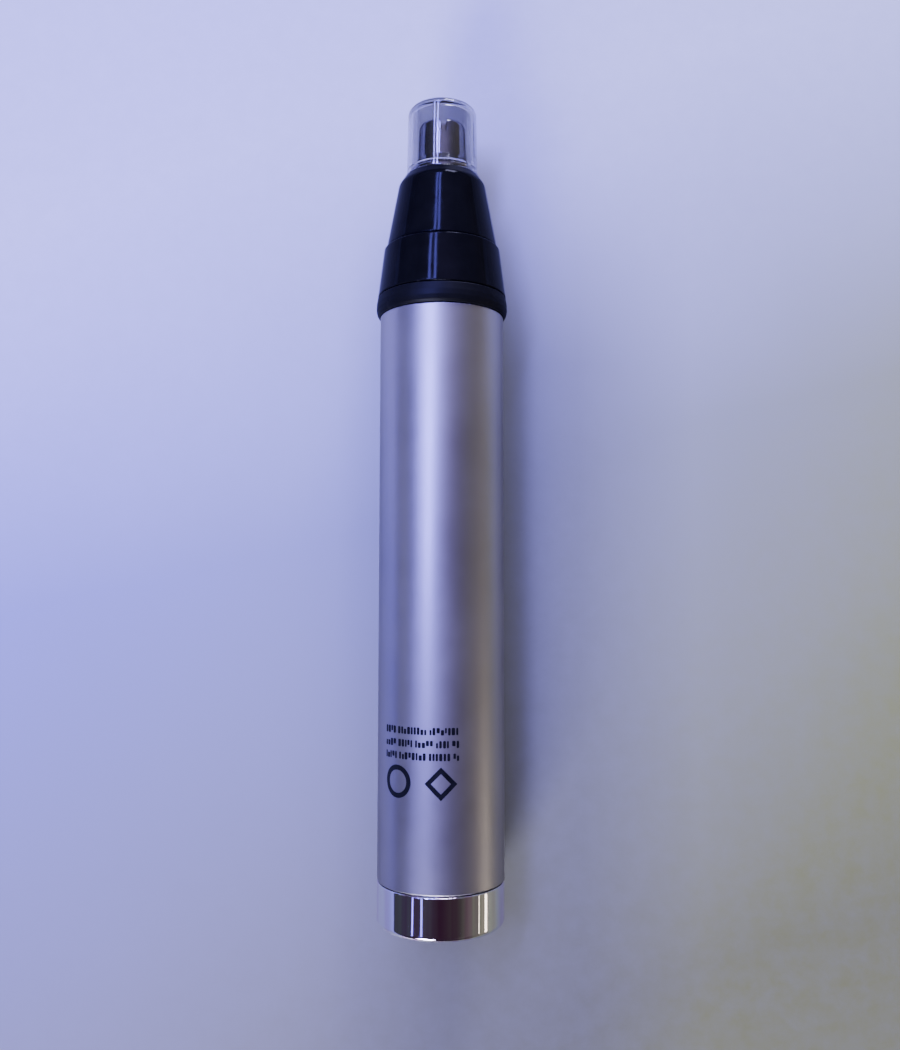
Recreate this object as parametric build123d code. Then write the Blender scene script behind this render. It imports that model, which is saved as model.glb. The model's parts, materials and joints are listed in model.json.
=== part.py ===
"""Cordless nose hair trimmer lying on its side: body, motor, twist-off head, cutter cap and clear cap.

Every piece is drawn upright about its own axis: x right, y towards the thumb slide, z from the base end to
the cutter. The last step lays it down along +Y, on the surface z = 0, turned a little about its axis.
"""

import os
from math import cos, radians, sin

from build123d import *

# ---------------------------------------------------------------- whole trimmer
LENGTH = 144.1
TUBE_RADIUS = 11.0
TUBE_BORE = 10.2
WIDEST_RADIUS = 11.7
LEAN_DEG = 20.0
SEAM = 0.15
SEAM_ROUND = 0.2
OVER = 1.0
WIDE = 12.0

# ---------------------------------------------------------------- base end
BASE_TOP = 7.25
BASE_EDGE_ROUND = 0.95
BASE_FLOOR = 1.6
BASE_OPENING = 7.0
SPIGOT_RADIUS = 10.15
SPIGOT_BORE = 9.25
BASE_SPIGOT_TOP = 12.0
CATCH_HALF_WIDTH = 1.6
CATCH_SPAN = (9.2, 10.8)
INSERT_GAP = 0.05
INSERT_RECESS = 0.35
INSERT_FLANGE = 8.4
INSERT_TOP = 3.0
INSERT_EDGE_ROUND = 0.15
RIM_GROOVE = (5.8, 6.1)
RIM_GROOVE_DEPTH = 0.2
KEY_HALF_WIDTH = 0.6
KEY_SPAN = (4.4, 5.2)
KEY_DEPTH = 0.3
CONTACT_OFFSET = 3.8
WELL_RADIUS = 1.7
WELL_FLOOR = 1.5
CONTACT_RADIUS = 1.4
CONTACT_THICK = 0.4
CONTACT_PIN_RADIUS = 0.7
CONTACT_PIN_TOP = 4.0
CAPACITOR_HALF_WIDTH = 5.0
CAPACITOR_DEPTH = (-5.0, 1.0)
CAPACITOR_SPAN = (6.2, 12.2)
CAPACITOR_ROUND = 0.5
LEAD_RADIUS = 0.45
LEAD_BEND = 0.7
CHARGE_LEAD_BENDS = ((0, 4.9), (5.0, 6.4), (5.0, 16.0))

# ---------------------------------------------------------------- tube and switch
TUBE_BOTTOM = BASE_TOP + SEAM
TUBE_TOP = 105.4
SWITCH_OFF = 55.0
SWITCH_TRAVEL = 4.0
SLOT_WIDTH = 3.4
SLOT_ROUND = 0.2
SLOT_CLEAR = 0.2
STEM_WIDTH = 2.6
STEM_LENGTH = 3.0
STEM_SPAN = (9.0, 11.6)
KNOB_LENGTH = 15.0
KNOB_HALF_WIDTH = 2.6
KNOB_CORNER = 1.6
KNOB_TOP = 12.1
KNOB_CROWN_RADIUS = 4.42
KNOB_BOTTOM = 11.05
KNOB_GROOVES = 7
KNOB_GROOVE_PITCH = 1.5
KNOB_GROOVE_WIDTH = 0.7
KNOB_GROOVE_DEPTH = 0.35
SLIDER_INNER = 9.6
SLIDER_HALF_WIDTH = 3.1
SLIDER_LENGTH = 7.0
POCKET_GAP = 0.05
LEVER_HALF_WIDTH = 0.9
LEVER_HALF_LENGTH = 1.0
LEVER_SPAN = (7.8, 9.9)
POCKET_SPAN = (8.0, 10.0)
SWITCH_CASE_HALF_WIDTH = 2.1
SWITCH_CASE_HALF_LENGTH = 4.4
SWITCH_CASE_TOP = 8.6
SWITCH_CASE_FLOOR = 7.7
LEVER_CLEAR = 0.1

# ---------------------------------------------------------------- chassis and electrics
CHASSIS_RADIUS = 10.1
CHASSIS_BORE = 9.2
CHASSIS_BOTTOM = 12.4
CHASSIS_TOP = 101.2
CHASSIS_SPLIT = 0.02
RIB_OVERLAP = 0.2
CELL_RIBS = ((13.6, 14.8), (25, 26), (41, 42), (57, 58))
MOTOR_RIBS = ((78, 79), (90, 91))
BULKHEAD = (68.2, 71.4)
BULKHEAD_HOLE = 2.2
BULKHEAD_WINDOW = (4.0, (4.4, 8.4))
LEAD_NOTCH = ((-5.0, -2.6), (4.4, 9.0), (13.0, 15.0))
SLIDE_ROOM = 0.6
SLIDE_ROOM_RADIUS = 9.55
SLIDE_ROOM_HALF_WIDTH = 3.3
CELL_RADIUS = 7.1
CELL_BACK = -1.6
CELL_BOTTOM = 16.0
CELL_SHOULDER = 65.3
CELL_TOP = 66.5
CELL_BUTTON = 2.75
CELL_ROUNDS = (0.4, 0.6)
CELL_GAP = 0.05
TAB_THICK = 0.4
TAB_HALF = 3.0
TAB_ROUND = 0.8
TAB_TAIL_HALF_WIDTH = 1.2
TAB_TAIL_START = 2.5
BOARD_BACK = 6.3
BOARD_THICK = 0.8
BOARD_WIDTH = 11.0
BOARD_BOTTOM = 15.0
BOARD_TOP = 67.6
BOARD_GAP = 0.05
BOARD_FACE = BOARD_BACK + BOARD_THICK
BOARD_CORNER = 0.8
BOARD_HOLE_RADIUS = 0.8
BOARD_HOLE_X = 4.0
BOARD_HOLE_STATIONS = (20.0, 62.5)
PART_LEAD_HALF = 0.2
DIODES = 4
DIODE_FIRST = 23.0
DIODE_PITCH = 3.4
DIODE_RADIUS = 0.8
DIODE_LENGTH = 3.4
DIODE_LEAD_X = 2.4
DIODE_LEAD_HALF = 0.75
RESISTOR_RADIUS = 0.8
RESISTOR_SPAN = (39.0, 44.5)
RESISTOR_LEAD_RADIUS = 0.25
RESISTOR_LEADS = (37.2, 46.3)
SCREW_X = 6.2
SCREW_STATIONS = (69.8, 98.3)
SCREW_HEAD_RADIUS = 1.5
SCREW_HEAD_GAP = 0.1
SCREW_HEAD_HEIGHT = 1.2
SCREW_SHANK_RADIUS = 0.85
SCREW_SEAT = -5.4
SCREW_TIP = 4.0
SCREW_HOLE_END = 4.4
CROSS_LENGTH = 0.9
CROSS_WIDTH = 0.2
CROSS_DEPTH = 0.6

# ---------------------------------------------------------------- motor and drive
MOTOR_BOTTOM = 74.0
CAN_BOTTOM = 77.0
CAN_TOP = 94.0
CAN_RADIUS = 7.75
CAN_HALF_FLAT = 6.0
CAN_WALL = 0.6
CAN_EDGE_ROUND = 0.8
CAN_GAP = 0.1
BOSS_RADIUS = 3.0
BOSS_TOP = 95.2
BOSS_GAP = 0.3
BELL_EDGE_ROUND = 0.5
BELL_FLOOR = 75.4
BELL_HOLLOW = 4.2
BUSH_RADIUS = 1.6
FRONT_BUSH_BOTTOM = 93.0
TERMINAL_X = 4.6
TERMINAL_HALF_THICK = 0.2
TERMINAL_HALF_WIDTH = 0.9
TERMINAL_SPAN = (72.2, 76.9)
TERMINAL_EYE = (73.2, 0.35)
MAGNET_RADIUS = 7.1
MAGNET_HALF_DEG = 44.0
MAGNET_SPAN = (80.0, 90.0)
AIR_GAP = 0.35
BRUSH_INNER = 2.13
BRUSH_OUTER = 2.38
BRUSH_FOOT = 2.9
BRUSH_REACH = (-1.6, 2.8)
BRUSH_FOOT_REACH = (2.6, 2.9)
BRUSH_SPAN = (75.8, 76.9)
MOTOR_LEAD_X = 2.4
MOTOR_LEAD_Y = 6.7
MOTOR_LEAD_BENDS = ((3.5, 73.2), (0.9, 73.2))
MOTOR_LEAD_DROP = 71.0
SHAFT_RADIUS = 0.75
SHAFT_CLEAR = 0.03
SHAFT_SPAN = (73.2, 103.6)
SHAFT_CHAMFER = 0.15
ROTOR_RADIUS = 4.9
CORE_SPAN = (79.5, 90.5)
CORE_HUB = 2.1
POLES = 3
POLE_HALF_WIDTH = 0.9
POLE_REACH = (1.5, 4.4)
POLE_SHOE_INNER = 4.15
POLE_SHOE_HALF_DEG = 50.0
COIL_REACH = (2.35, 3.75)
COIL_HALF_WIDTH = 1.7
COIL_OVERHANG = 1.1
COIL_ROUND = 0.7
COMMUTATOR_RADIUS = 2.1
COMMUTATOR_SPAN = (75.7, 77.8)
COMMUTATOR_SLIT = (1.3, 0.12)
COUPLING_RADIUS = 2.6
COUPLING_BOTTOM = 97.2
COUPLING_TOP = 111.0
COUPLING_ROUND = 0.3
COUPLING_GROOVE = (2.2, 105.5, 106.2)
SOCKET_HALF = 0.85
SOCKET_FLOOR = 104.6
SPINDLE_SQUARE_HALF = 0.8
SPINDLE_TAIL = 105.2
SPINDLE_RADIUS = 0.9
SPINDLE_TOP = 124.0
SPINDLE_FLANGE = 114.4
SPINDLE_FLANGE_RADIUS = 1.95
SPINDLE_FLANGE_THICK = 0.6
SPRING_COIL_RADIUS = 1.5
SPRING_WIRE_RADIUS = 0.2
SPRING_PITCH = 0.75

# ---------------------------------------------------------------- collar and head
COLLAR_TOP = 108.85
COLLAR_FLOOR = (103.4, 105.2)
COLLAR_DRIVE_HOLE = 3.4
COLLAR_SPIGOT_BOTTOM = 101.6
COLLAR_SPIGOT_BORE = 9.2
COLLAR_FOOT = TUBE_TOP + 0.06
COLLAR_FOOT_RADIUS = 11.15
COLLAR_SHOULDER_RADIUS = 11.5
COLLAR_SHOULDER = 105.85
COLLAR_BELLY = (106.6, 107.5)
NECK_RADIUS = 8.6
NECK_BORE = 7.3
NECK_TOP = 115.3
NECK_RUN_CLEAR = 0.05
SEAL_GROOVE = (110.1, 111.3)
SEAL_GROOVE_DEPTH = 0.7
SEAL_THICK_RADIUS = 0.35
LUG_RADIUS = 9.45
LUG_ROOT = 0.2
LUG_BOTTOM = 112.5
LUG_TOP = 114.6
LUG_HALF_DEG = 12.0
LUG_CLEAR_DEG = 1.0
LUG_CLEAR = 0.05
TWIST_DEG = 30.0
HEAD_BOTTOM = 109.0
HEAD_TOP = 117.85
HEAD_FOOT_RADIUS = 11.5
HEAD_TOP_RADIUS = 10.4
SPOUT_RADIUS = 7.2
SPOUT_BORE = 5.6
SPOUT_TOP = 126.0
SPOUT_GROOVE = (123.0, 123.8)
SPOUT_GROOVE_DEPTH = 0.25
GUIDE_SEAT = 3.2
GUIDE_BOTTOM = 115.6
GUIDE_TOP = 118.2
GUIDE_CLEAR = 0.05
GUIDE_FLANGE_RADIUS = 4.2
GUIDE_FLANGE_THICK = 0.7

# ---------------------------------------------------------------- cutter and caps
CONE_BOTTOM = 118.0
CONE_FOOT_RADIUS = 10.0
CONE_SHOULDER = 129.6
CONE_SHOULDER_RADIUS = 7.85
CONE_TOP = 131.3
CONE_TOP_RADIUS = 6.75
CONE_SEAT = 5.3
CONE_FLOOR = SPOUT_TOP + 0.2
RETAINER_BOTTOM = 126.5
RETAINER_BORE = 4.3
CUTTER_SKIRT_BOTTOM = 127.5
CUTTER_SKIRT_BORE = 4.95
CUTTER_TOP = 141.0
CUTTER_END_THICK = 0.4
CUTTER_BORE = 3.85
CUTTER_BORE_BOTTOM = 133.9
CUTTER_SKIRT_BORE_TOP = 131.9
CUTTER_FLANGE = 5.6
CUTTER_FLANGE_TOP = 132.3
CUTTER_FLARE = ((4.75, 132.9), (4.37, 134.3))
CUTTER_TIP_RADIUS = 4.12
CUTTER_SLOTS = 4
CUTTER_SLOT_WIDTH = 1.1
CUTTER_SLOT_DEPTH = 2.6
CUTTER_SLOT_INNER = 1.5
CUTTER_SLOT_ROUND = 0.3
CUTTER_FIRST_SLOT_DEG = -66.0
BLADE_CLEAR = 0.07
BLADE_TIP_CLEAR = 0.05
BLADE_THICK = 0.5
BLADE_BOTTOM = 126.0
BLADE_TAIL_RADIUS = 2.3
BLADE_SHOULDERS = (129.6, 131.6)
BLADE_WINDOW_HALF = 2.5
BLADE_WINDOW = (131.8, 138.2)
BLADE_CORNER = (0.72, 0.7)
HOLDER_BOTTOM = 121.0
HOLDER_TOP = 129.0
HOLDER_NECK_RADIUS = 1.7
HOLDER_SHOULDER = 122.4
HOLDER_RADIUS = 2.4
HOLDER_ROUND = 0.4
CAP_BOTTOM = 131.4
CAP_FOOT_RADIUS = 6.5
CAP_FOOT_TOP = 131.85
CAP_STEP = (6.38, 132.05)
CAP_TOP_RADIUS = 6.2
CAP_WALL_END = 142.9
CAP_INNER_TOP = 5.3
CAP_INNER_STEP = ((5.45, 132.9), 132.6)
CAP_GRIP_CLEAR = 0.05

# ---------------------------------------------------------------- corner rounds, as (point number, radius)
COLLAR_ROUNDS = [(6, 0.6), (7, 0.5), (8, 0.8), (9, 0.15), (11, 0.3)]
HEAD_ROUNDS = [(1, 0.2), (2, 0.35), (4, 0.3)]
CONE_ROUNDS = [(1, 0.2), (2, 2.0), (3, 0.4)]
CUTTER_ROUNDS = [(4, 0.25), (5, 0.8), (7, 1.0), (10, 0.7)]
CLEAR_CAP_ROUNDS = [(1, 0.12), (4, 1.25), (7, 0.6)]


def turned(points, rounds=()):
    """Solid of revolution from (radius, height) points; rounds holds (point number, corner radius)."""
    face = make_face(Polyline(*points, close=True))
    for number, radius in rounds:
        corner = face.vertices().sort_by_distance(points[number])[0]
        face = fillet(corner, radius)
    return revolve(Plane.XZ * face, Axis.Z)


def rod(radius, low, high, x=0.0, y=0.0):
    """Upright cylinder between two heights."""
    return Pos(x, y, (low + high) / 2) * Cylinder(radius, high - low)


def ring(outer, inner, low, high):
    """Upright tube between two heights."""
    return rod(outer, low, high) - rod(inner, low - OVER, high + OVER)


def block(x_range, y_range, z_range):
    """Box between three pairs of limits."""
    centre = [sum(pair) / 2 for pair in (x_range, y_range, z_range)]
    size = [pair[1] - pair[0] for pair in (x_range, y_range, z_range)]
    return Pos(*centre) * Box(*size)


def both(half, middle=0.0):
    """Limits at equal distances on both sides of a middle."""
    return (middle - half, middle + half)


def cross_rod(radius, y_low, y_high, x, z):
    """Cylinder lying along y."""
    return Pos(x, (y_low + y_high) / 2, z) * Rot(90, 0, 0) * Cylinder(radius, y_high - y_low)


def wedge(radius, middle_deg, half_deg, low, high):
    """Upright slice of a cylinder between two angles about the axis."""
    reach = radius / cos(radians(half_deg))
    corners = [(0, 0)]
    for turn in both(half_deg):
        angle = radians(middle_deg + turn)
        corners.append((reach * cos(angle), reach * sin(angle)))
    slice_face = make_face(Polyline(*corners, close=True))
    return (Pos(0, 0, low) * extrude(slice_face, high - low)) & rod(radius, low, high)


def wire(points):
    """Insulated lead: straight runs joined by round bends."""
    path = FilletPolyline(*points, radius=LEAD_BEND)
    return sweep(Plane(origin=path @ 0, z_dir=path % 0) * Circle(LEAD_RADIUS), path=path)


# ---------------------------------------------------------------- base end
def base_cap():
    """Plated end cap with a spigot into the tube and an opening for the charging insert."""
    cap = turned(
        [
            (BASE_OPENING, 0),
            (TUBE_RADIUS, 0),
            (TUBE_RADIUS, BASE_TOP),
            (SPIGOT_RADIUS, BASE_TOP),
            (SPIGOT_RADIUS, BASE_SPIGOT_TOP),
            (SPIGOT_BORE, BASE_SPIGOT_TOP),
            (SPIGOT_BORE, BASE_FLOOR),
            (BASE_OPENING, BASE_FLOOR),
        ],
        [(1, BASE_EDGE_ROUND), (2, SEAM_ROUND), (0, SEAM_ROUND)],
    )
    for turn in (0, 180):
        catch = block((SPIGOT_BORE - OVER, WIDE), both(CATCH_HALF_WIDTH), CATCH_SPAN)
        cap -= Rot(0, 0, turn) * catch
    return cap


def base_insert():
    """Moulded disc set in the base opening, with two wells for the charging contacts."""
    edge = BASE_OPENING - INSERT_GAP
    insert = turned(
        [
            (0, INSERT_RECESS),
            (edge, INSERT_RECESS),
            (edge, BASE_FLOOR),
            (INSERT_FLANGE, BASE_FLOOR),
            (INSERT_FLANGE, INSERT_TOP),
            (0, INSERT_TOP),
        ],
        [(1, INSERT_EDGE_ROUND)],
    )
    insert -= ring(RIM_GROOVE[1], RIM_GROOVE[0], 0, INSERT_RECESS + RIM_GROOVE_DEPTH)
    insert -= block(both(KEY_HALF_WIDTH), KEY_SPAN, (0, INSERT_RECESS + KEY_DEPTH))
    for x in both(CONTACT_OFFSET):
        insert -= rod(WELL_RADIUS, 0, WELL_FLOOR, x)
        insert -= rod(CONTACT_RADIUS, WELL_FLOOR, WELL_FLOOR + CONTACT_THICK, x)
        insert -= rod(CONTACT_PIN_RADIUS, WELL_FLOOR, INSERT_TOP + OVER, x)
    return insert


def charge_contacts():
    """Two rivet-shaped charging contacts, flush with the floor of the wells."""
    pins = Part()
    for x in both(CONTACT_OFFSET):
        pins += rod(CONTACT_RADIUS, WELL_FLOOR, WELL_FLOOR + CONTACT_THICK, x)
        pins += rod(CONTACT_PIN_RADIUS, WELL_FLOOR, CONTACT_PIN_TOP, x)
    return pins


def dropper_capacitor():
    """Film capacitor of the mains charging circuit, in the base."""
    case = block(both(CAPACITOR_HALF_WIDTH), CAPACITOR_DEPTH, CAPACITOR_SPAN)
    return fillet(case.edges(), CAPACITOR_ROUND)


def charge_leads():
    """Leads from the two contacts to the capacitor and the board."""
    to_capacitor = rod(LEAD_RADIUS, CONTACT_PIN_TOP, CAPACITOR_SPAN[0], CONTACT_OFFSET)
    path = [(-CONTACT_OFFSET, 0, CONTACT_PIN_TOP)]
    path += [(-CONTACT_OFFSET, y, z) for y, z in CHARGE_LEAD_BENDS]
    path.append((-CONTACT_OFFSET, BOARD_BACK, CHARGE_LEAD_BENDS[-1][1]))
    return to_capacitor + wire(path)


# ---------------------------------------------------------------- tube and switch
def body_tube():
    """Anodised tube with the slot for the thumb slide."""
    tube = turned(
        [
            (TUBE_BORE, TUBE_BOTTOM),
            (TUBE_RADIUS, TUBE_BOTTOM),
            (TUBE_RADIUS, TUBE_TOP),
            (TUBE_BORE, TUBE_TOP),
        ],
        [(1, SEAM_ROUND), (2, SEAM_ROUND)],
    )
    return tube - slot_cutter(SLOT_WIDTH, TUBE_BORE - OVER)


def slot_cutter(width, y_low):
    """Round-ended slot that gives the slide's stem its travel."""
    low = SWITCH_OFF - STEM_LENGTH / 2 - SLOT_CLEAR
    high = SWITCH_OFF + SWITCH_TRAVEL + STEM_LENGTH / 2 + SLOT_CLEAR
    slot = block(both(width / 2), (y_low, WIDE), (low, high))
    return fillet(slot.edges().filter_by(Axis.Y), SLOT_ROUND)


def switch_knob():
    """Ribbed thumb slide, curved to ride on the tube."""
    low, high = both(KNOB_LENGTH / 2, SWITCH_OFF)
    knob = block(both(KNOB_HALF_WIDTH), (TUBE_BORE, KNOB_TOP + OVER), (low, high))
    knob = fillet(knob.edges().filter_by(Axis.Y), KNOB_CORNER)
    knob &= rod(KNOB_CROWN_RADIUS, low, high, 0, KNOB_TOP - KNOB_CROWN_RADIUS)
    knob -= rod(KNOB_BOTTOM, low - OVER, high + OVER)
    floor = KNOB_TOP - KNOB_GROOVE_DEPTH
    for number in range(KNOB_GROOVES):
        z = SWITCH_OFF + (number - (KNOB_GROOVES - 1) / 2) * KNOB_GROOVE_PITCH
        knob -= block(both(KNOB_CROWN_RADIUS), (floor, KNOB_TOP + OVER), both(KNOB_GROOVE_WIDTH / 2, z))
    return knob - stem()


def stem():
    """Stem that joins the slide to the switch inside."""
    return block(both(STEM_WIDTH / 2), STEM_SPAN, both(STEM_LENGTH / 2, SWITCH_OFF))


def switch_slider():
    """Inner slider: wings held under the tube wall, with a pocket for the switch's own lever."""
    low, high = both(SLIDER_LENGTH / 2, SWITCH_OFF)
    wings = ring(CHASSIS_RADIUS, SLIDER_INNER, low, high)
    wings &= block(both(SLIDER_HALF_WIDTH), (CHASSIS_RADIUS / 2, WIDE), (low, high))
    pocket_x = both(LEVER_HALF_WIDTH + POCKET_GAP)
    pocket_z = both(LEVER_HALF_LENGTH + POCKET_GAP, SWITCH_OFF)
    return wings + stem() - block(pocket_x, POCKET_SPAN, pocket_z)


def switch_actuator():
    """Lever of the slide switch, held in the slider's pocket."""
    return block(both(LEVER_HALF_WIDTH), LEVER_SPAN, both(LEVER_HALF_LENGTH, SWITCH_OFF))


def slide_switch_body():
    """Case of the slide switch on the board, open for its lever."""
    middle = SWITCH_OFF + SWITCH_TRAVEL / 2
    half = SWITCH_CASE_HALF_LENGTH
    case = block(both(SWITCH_CASE_HALF_WIDTH), (BOARD_FACE, SWITCH_CASE_TOP), both(half, middle))
    room = LEVER_HALF_LENGTH + LEVER_CLEAR
    opening_z = (SWITCH_OFF - room, SWITCH_OFF + SWITCH_TRAVEL + room)
    opening_x = both(LEVER_HALF_WIDTH + LEVER_CLEAR)
    return case - block(opening_x, (SWITCH_CASE_FLOOR, SWITCH_CASE_TOP + OVER), opening_z)


# ---------------------------------------------------------------- chassis
def motor_outline(grow, low, high):
    """Round can with two flats, grown by a gap."""
    outline = rod(CAN_RADIUS + grow, low, high)
    return outline & block(both(CAN_RADIUS + OVER), both(CAN_HALF_FLAT + grow), (low, high))


def cell_ribs():
    """Ribs that cradle the cell, open on the board's side."""
    rim = CHASSIS_BORE + RIB_OVERLAP
    cell = rod(CELL_RADIUS + CELL_GAP, CELL_BOTTOM - OVER, CELL_TOP + OVER, 0, CELL_BACK)
    board = block(both(WIDE), (BOARD_BACK - BOARD_GAP, WIDE), (0, BOARD_TOP + OVER))
    ribs = Part()
    for low, high in CELL_RIBS:
        ribs += rod(rim, low, high) - cell - board
    return ribs - block(*LEAD_NOTCH)


def motor_ribs():
    """Ribs that hold the motor by its flats, and the bulkhead behind it."""
    rim = CHASSIS_BORE + RIB_OVERLAP
    ribs = rod(rim, *BULKHEAD) - rod(BULKHEAD_HOLE, BULKHEAD[0] - OVER, BULKHEAD[1] + OVER)
    half, depth = BULKHEAD_WINDOW
    ribs -= block(both(half), depth, (BULKHEAD[0] - OVER, BULKHEAD[1] + OVER))
    for low, high in MOTOR_RIBS:
        ribs += rod(rim, low, high) - motor_outline(CAN_GAP, low - OVER, high + OVER)
    nose = rod(rim, BOSS_TOP + CAN_GAP, CHASSIS_TOP)
    return ribs + (nose - rod(BOSS_RADIUS + BOSS_GAP, BOSS_TOP - OVER, CHASSIS_TOP + OVER))


def slide_room():
    """Room for the inner slider and its stem over their travel."""
    low = SWITCH_OFF - SLIDER_LENGTH / 2 - SLIDE_ROOM
    high = SWITCH_OFF + SWITCH_TRAVEL + SLIDER_LENGTH / 2 + SLIDE_ROOM
    room = ring(WIDE, SLIDE_ROOM_RADIUS, low, high)
    room &= block(both(SLIDE_ROOM_HALF_WIDTH), (CHASSIS_RADIUS / 2, WIDE), (low, high))
    return room + slot_cutter(SLOT_WIDTH - SLOT_CLEAR, LEVER_SPAN[0])


def screw_room(x, z):
    """Hole and head seat of one screw."""
    hole = cross_rod(SCREW_SHANK_RADIUS, SCREW_SEAT - OVER, SCREW_HOLE_END, x, z)
    return hole + cross_rod(SCREW_HEAD_RADIUS + SCREW_HEAD_GAP, -WIDE, SCREW_SEAT, x, z)


def screw_places():
    """Position of each chassis screw."""
    return [(x, z) for x in both(SCREW_X) for z in SCREW_STATIONS]


def chassis():
    """Inner carrier before it is split: shell, cell cradle, motor cradle and screw bosses."""
    frame = ring(CHASSIS_RADIUS, CHASSIS_BORE, CHASSIS_BOTTOM, CHASSIS_TOP)
    frame += cell_ribs()
    frame += motor_ribs()
    frame -= slide_room()
    for x, z in screw_places():
        frame -= screw_room(x, z)
    return frame


def chassis_front(frame):
    """Carrier half on the switch side."""
    return frame & block(both(WIDE), (CHASSIS_SPLIT, WIDE), (0, LENGTH))


def chassis_back(frame):
    """Carrier half that holds the screw heads."""
    return frame & block(both(WIDE), (-WIDE, -CHASSIS_SPLIT), (0, LENGTH))


def chassis_screws():
    """Four cross-head screws that close the carrier."""
    screws = Part()
    recess = (SCREW_SEAT - SCREW_HEAD_HEIGHT - OVER, SCREW_SEAT - CROSS_DEPTH)
    for x, z in screw_places():
        head = cross_rod(SCREW_HEAD_RADIUS, SCREW_SEAT - SCREW_HEAD_HEIGHT, SCREW_SEAT, x, z)
        head -= block(both(CROSS_WIDTH, x), recess, both(CROSS_LENGTH, z))
        head -= block(both(CROSS_LENGTH, x), recess, both(CROSS_WIDTH, z))
        screws += head + cross_rod(SCREW_SHANK_RADIUS, SCREW_SEAT, SCREW_TIP, x, z)
    return screws


# ---------------------------------------------------------------- cell and board
def battery_cell():
    """Rechargeable AA cell with its raised positive end."""
    can = Pos(0, CELL_BACK, 0) * turned(
        [(0, CELL_BOTTOM), (CELL_RADIUS, CELL_BOTTOM), (CELL_RADIUS, CELL_SHOULDER), (0, CELL_SHOULDER)],
        [(1, CELL_ROUNDS[0]), (2, CELL_ROUNDS[1])],
    )
    return can + rod(CELL_BUTTON, CELL_SHOULDER, CELL_TOP, 0, CELL_BACK)


def battery_tab(low):
    """Welded strip from one end of the cell to the board."""
    span = (low, low + TAB_THICK)
    plate = block(both(TAB_HALF), both(TAB_HALF, CELL_BACK), span)
    plate = fillet(plate.edges().filter_by(Axis.Z), TAB_ROUND)
    return plate + block(both(TAB_TAIL_HALF_WIDTH), (CELL_BACK + TAB_TAIL_START, BOARD_BACK), span)


def circuit_board():
    """Charging board behind the switch."""
    board = block(both(BOARD_WIDTH / 2), (BOARD_BACK, BOARD_FACE), (BOARD_BOTTOM, BOARD_TOP))
    board = fillet(board.edges().filter_by(Axis.Y), BOARD_CORNER)
    for z in BOARD_HOLE_STATIONS:
        board -= cross_rod(BOARD_HOLE_RADIUS, BOARD_BACK - OVER, BOARD_FACE + OVER, BOARD_HOLE_X, z)
    return board


def rectifier_diodes():
    """Four diodes of the bridge, lying across the board."""
    diodes = Part()
    y = BOARD_FACE + DIODE_RADIUS
    foot = DIODE_LEAD_HALF - PART_LEAD_HALF
    for number in range(DIODES):
        z = DIODE_FIRST + number * DIODE_PITCH
        body = Pos(0, y, z) * Rot(0, 90, 0) * Cylinder(DIODE_RADIUS, DIODE_LENGTH)
        for side in (-1, 1):
            x = side * DIODE_LEAD_X
            body += block(both(DIODE_LEAD_HALF, x), both(PART_LEAD_HALF, y), both(PART_LEAD_HALF, z))
            legs = both(PART_LEAD_HALF, x + side * foot)
            body += block(legs, (BOARD_FACE, y + PART_LEAD_HALF), both(PART_LEAD_HALF, z))
        diodes += body
    return diodes


def limiting_resistor():
    """Charging current resistor along the board."""
    y = BOARD_FACE + RESISTOR_RADIUS
    low, high = RESISTOR_SPAN
    first, last = RESISTOR_LEADS
    body = rod(RESISTOR_RADIUS, low, high, 0, y)
    body += rod(RESISTOR_LEAD_RADIUS, first, low, 0, y)
    body += rod(RESISTOR_LEAD_RADIUS, high, last, 0, y)
    for z in (first + PART_LEAD_HALF, last - PART_LEAD_HALF):
        body += block(both(PART_LEAD_HALF), (BOARD_FACE, y), both(PART_LEAD_HALF, z))
    return body


# ---------------------------------------------------------------- motor
def motor_can():
    """Steel can with two flats and a front boss."""
    can = motor_outline(0, CAN_BOTTOM, CAN_TOP)
    can = fillet(can.edges().group_by(Axis.Z)[-1], CAN_EDGE_ROUND)
    can -= motor_outline(-CAN_WALL, CAN_BOTTOM - OVER, CAN_TOP - CAN_WALL)
    can += rod(BOSS_RADIUS, CAN_TOP - CAN_WALL, BOSS_TOP)
    return can - rod(BUSH_RADIUS, CAN_TOP - OVER, BOSS_TOP + OVER)


def motor_end_bell():
    """Nylon rear end of the motor, hollow for the commutator."""
    bell = motor_outline(0, MOTOR_BOTTOM, CAN_BOTTOM)
    bell = fillet(bell.edges().group_by(Axis.Z)[0], BELL_EDGE_ROUND)
    bell -= rod(BUSH_RADIUS, MOTOR_BOTTOM - OVER, BELL_FLOOR)
    bell -= rod(BELL_HOLLOW, BELL_FLOOR, CAN_BOTTOM + OVER)
    for x in both(TERMINAL_X):
        slot_z = (MOTOR_BOTTOM - OVER, CAN_BOTTOM + OVER)
        bell -= block(both(TERMINAL_HALF_THICK, x), both(TERMINAL_HALF_WIDTH), slot_z)
    return bell


def bush(low, high):
    """Plain bearing of the motor shaft."""
    return ring(BUSH_RADIUS, SHAFT_RADIUS + SHAFT_CLEAR, low, high)


def motor_magnets():
    """Two arc magnets inside the can."""
    arcs = Part()
    for middle in (0, 180):
        arc = wedge(MAGNET_RADIUS, middle, MAGNET_HALF_DEG, *MAGNET_SPAN)
        arcs += arc - rod(ROTOR_RADIUS + AIR_GAP, MAGNET_SPAN[0] - OVER, MAGNET_SPAN[1] + OVER)
    return arcs


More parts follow.
